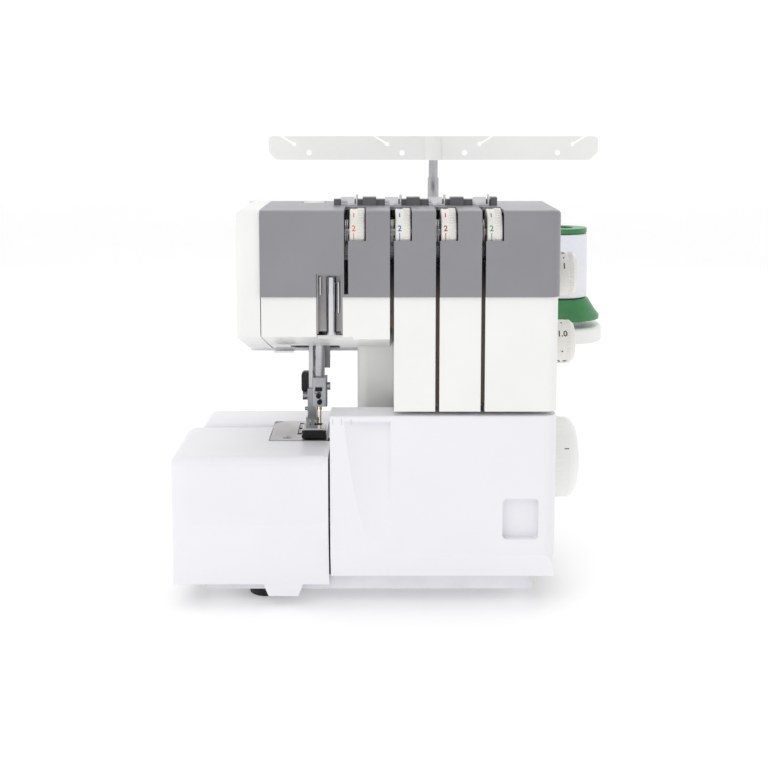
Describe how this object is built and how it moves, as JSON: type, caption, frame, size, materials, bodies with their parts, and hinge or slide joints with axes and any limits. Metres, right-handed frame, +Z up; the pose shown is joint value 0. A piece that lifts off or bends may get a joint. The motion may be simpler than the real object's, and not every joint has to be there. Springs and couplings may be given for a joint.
{
  "type": "overlock sewing machine",
  "caption": "Household overlock machine: white casing with grey head panel, tension wheels in slots, swing and drop covers, loopers, handwheel and telescopic thread tree.",
  "frame": {"origin": "on the table, under the middle of the machine's box", "axes": "+Z up, -Y towards the operator, +X towards the handwheel"},
  "size_m": [0.343, 0.25, 0.3445],
  "materials": {
    "belt_rubber": "matte",
    "black_abs": "fine grain",
    "cast_alloy": "as cast",
    "chrome": "plated",
    "clamp_nickel": "satin nickel",
    "dark_grey_abs": "satin",
    "foot_steel": "polished",
    "green_pp": "satin",
    "grey_abs": "satin",
    "ivory_pom": "satin",
    "looper_steel": "polished",
    "motor_paint": "satin",
    "needle_steel": "titanium nitride",
    "pin_steel": "nickel plated",
    "plate_steel": "ground",
    "rubber": "matte",
    "screw_steel": "nickel plated",
    "shaft_steel": "ground",
    "spring_steel": "drawn",
    "tray_plastic": "satin",
    "white_abs": "fine satin",
    "white_thread": "spun polyester",
    "zinc_steel": "zinc plated"
  },
  "bodies": {
    "casing": {"base_tray": "tray_plastic", "bed_rear": "white_abs", "chrome_cover": "chrome", "cone_holders": "dark_grey_abs", "drive_belt": "belt_rubber", "face_cover": "white_abs", "grey_panel": "grey_abs", "guide_bar": "grey_abs", "head_cover": "white_abs", "looper_bracket": "cast_alloy", "lower_knife": "looper_steel", "main_casing": "white_abs", "main_frame": "cast_alloy", "mains_inlet": "black_abs", "mast_tube": "chrome", "motor": "motor_paint", "needle_plate": "plate_steel", "presser_spring": "spring_steel", "rear_cover": "white_abs", "recess_liner": "dark_grey_abs", "rubber_feet": "rubber", "screws": "screw_steel", "spool_pins": "pin_steel", "spool_stand": "white_abs", "steel_thread_guides": "looper_steel", "switch_frame": "black_abs", "tension_bracket": "zinc_steel", "thread_channels": "black_abs"},
    "side_cover": {"side_cover": "white_abs"},
    "door_slide": {"door_bracket": "zinc_steel"},
    "front_cover": {"front_cover": "white_abs"},
    "drive_shaft": {"main_shaft": "shaft_steel", "handwheel": "white_abs"},
    "motor_rotor": {"motor_pulley": "black_abs"},
    "needle_bar": {"needle_bar": "chrome", "needle_clamp": "clamp_nickel", "needles": "needle_steel"},
    "presser_bar": {"presser_bar": "chrome", "foot_holder": "clamp_nickel"},
    "presser_foot": {"presser_foot": "foot_steel"},
    "presser_lifter": {"lifter_lever": "zinc_steel", "lifter_grip": "black_abs"},
    "pressure_dial": {"pressure_dial": "black_abs"},
    "tension_dial_1": {"tension_dial_1": "ivory_pom"},
    "tension_dial_2": {"tension_dial_2": "ivory_pom"},
    "tension_dial_3": {"tension_dial_3": "ivory_pom"},
    "tension_dial_4": {"tension_dial_4": "ivory_pom"},
    "stitch_length_dial": {"stitch_length_dial": "ivory_pom"},
    "feed_dial": {"feed_dial": "ivory_pom"},
    "power_rocker": {"power_rocker": "black_abs"},
    "lower_looper": {"lower_looper": "looper_steel"},
    "upper_looper": {"upper_looper": "looper_steel"},
    "upper_knife": {"upper_knife": "looper_steel"},
    "main_feed_dog": {"main_feed_dog": "looper_steel"},
    "differential_feed_dog": {"differential_feed_dog": "looper_steel"},
    "mast_mid": {"mid_tube": "chrome"},
    "mast_rod": {"top_rod": "chrome"},
    "thread_tree": {"tree_bar": "white_abs"},
    "thread_cone": {"cone_core": "green_pp", "wound_thread": "white_thread"}
  },
  "joints": [
    {"name": "handwheel_spin", "type": "hinge", "parent": "casing", "child": "drive_shaft", "pos_m": [0.1095, -0.05, 0.098], "axis": [1, 0, 0], "continuous": true},
    {"name": "motor_spin", "type": "hinge", "parent": "casing", "child": "motor_rotor", "pos_m": [0.096, 0.003, 0.056], "axis": [1, 0, 0], "continuous": true},
    {"name": "side_cover_swing", "type": "hinge", "parent": "casing", "child": "side_cover", "pos_m": [-0.1655, -0.031, 0.06], "axis": [0, 0, -1], "range_deg": [0, 100]},
    {"name": "front_cover_shift", "type": "slide", "parent": "casing", "child": "door_slide", "axis": [1, 0, 0], "range_m": [0, 0.008]},
    {"name": "front_cover_open", "type": "hinge", "parent": "door_slide", "child": "front_cover", "pos_m": [0.0275, -0.111, 0.031], "axis": [1, 0, 0], "range_deg": [0, 85]},
    {"name": "needle_bar_stroke", "type": "slide", "parent": "casing", "child": "needle_bar", "axis": [0, 0, 1], "range_m": [-0.012, 0.014]},
    {"name": "presser_lifter_turn", "type": "hinge", "parent": "casing", "child": "presser_lifter", "pos_m": [-0.063, -0.013, 0.17], "axis": [0, 1, 0], "range_deg": [0, 50]},
    {"name": "presser_bar_lift", "type": "slide", "parent": "casing", "child": "presser_bar", "axis": [0, 0, 1], "range_m": [0, 0.006]},
    {"name": "presser_foot_tilt", "type": "hinge", "parent": "presser_bar", "child": "presser_foot", "pos_m": [-0.0723, -0.021, 0.1218], "axis": [-1, 0, 0], "range_deg": [0, 5]},
    {"name": "pressure_dial_turn", "type": "hinge", "parent": "casing", "child": "pressure_dial", "pos_m": [-0.0695, -0.0345, 0.292], "axis": [0, 0, 1], "range_deg": [-180, 180]},
    {"name": "tension_dial_1_turn", "type": "hinge", "parent": "casing", "child": "tension_dial_1", "pos_m": [-0.0344, -0.1055, 0.2775], "axis": [1, 0, 0], "range_deg": [-30, 240]},
    {"name": "tension_dial_2_turn", "type": "hinge", "parent": "casing", "child": "tension_dial_2", "pos_m": [-0.0018, -0.1055, 0.2775], "axis": [1, 0, 0], "range_deg": [-30, 240]},
    {"name": "tension_dial_3_turn", "type": "hinge", "parent": "casing", "child": "tension_dial_3", "pos_m": [0.0308, -0.1055, 0.2775], "axis": [1, 0, 0], "range_deg": [-30, 240]},
    {"name": "tension_dial_4_turn", "type": "hinge", "parent": "casing", "child": "tension_dial_4", "pos_m": [0.0634, -0.1055, 0.2775], "axis": [1, 0, 0], "range_deg": [-30, 240]},
    {"name": "stitch_length_turn", "type": "hinge", "parent": "casing", "child": "stitch_length_dial", "pos_m": [0.118, -0.08, 0.245], "axis": [1, 0, 0], "range_deg": [-60, 90]},
    {"name": "differential_feed_turn", "type": "hinge", "parent": "casing", "child": "feed_dial", "pos_m": [0.118, -0.08, 0.194], "axis": [1, 0, 0], "range_deg": [-60, 120]},
    {"name": "power_rocker_tip", "type": "hinge", "parent": "casing", "child": "power_rocker", "pos_m": [0.106, 0.004, 0.131], "axis": [0, 1, 0], "range_deg": [0, 14]},
    {"name": "lower_looper_rock", "type": "hinge", "parent": "casing", "child": "lower_looper", "pos_m": [-0.076, -0.041, 0.05], "axis": [0, 1, 0], "range_deg": [-12, 10]},
    {"name": "upper_looper_rock", "type": "hinge", "parent": "casing", "child": "upper_looper", "pos_m": [-0.058, -0.055, 0.05], "axis": [0, 1, 0], "range_deg": [-8, 6]},
    {"name": "upper_knife_stroke", "type": "slide", "parent": "casing", "child": "upper_knife", "axis": [0, 0, 1], "range_m": [-0.006, 0.004]},
    {"name": "main_feed_stroke", "type": "slide", "parent": "casing", "child": "main_feed_dog", "axis": [0, 1, 0], "range_m": [-0.002, 0.002]},
    {"name": "differential_feed_stroke", "type": "slide", "parent": "casing", "child": "differential_feed_dog", "axis": [0, 1, 0], "range_m": [-0.002, 0.002]},
    {"name": "mast_mid_slide", "type": "slide", "parent": "casing", "child": "mast_mid", "axis": [0, 0, 1], "range_m": [-0.036, 0]},
    {"name": "mast_rod_slide", "type": "slide", "parent": "mast_mid", "child": "mast_rod", "axis": [0, 0, 1], "range_m": [-0.014, 0]},
    {"name": "thread_tree_turn", "type": "hinge", "parent": "mast_rod", "child": "thread_tree", "pos_m": [0.0255, 0.05, 0.334], "axis": [0, 0, 1], "range_deg": [0, 90]},
    {"name": "thread_cone_lift", "type": "slide", "parent": "casing", "child": "thread_cone", "axis": [0, 0, 1], "range_m": [0, 0.05]}
  ],
  "couplings": [
    {"joint": "motor_spin", "follows": "handwheel_spin", "ratio": 3.1429},
    {"joint": "presser_lifter_turn", "follows": "presser_bar_lift", "rad_per_m": 145.44}
  ]
}
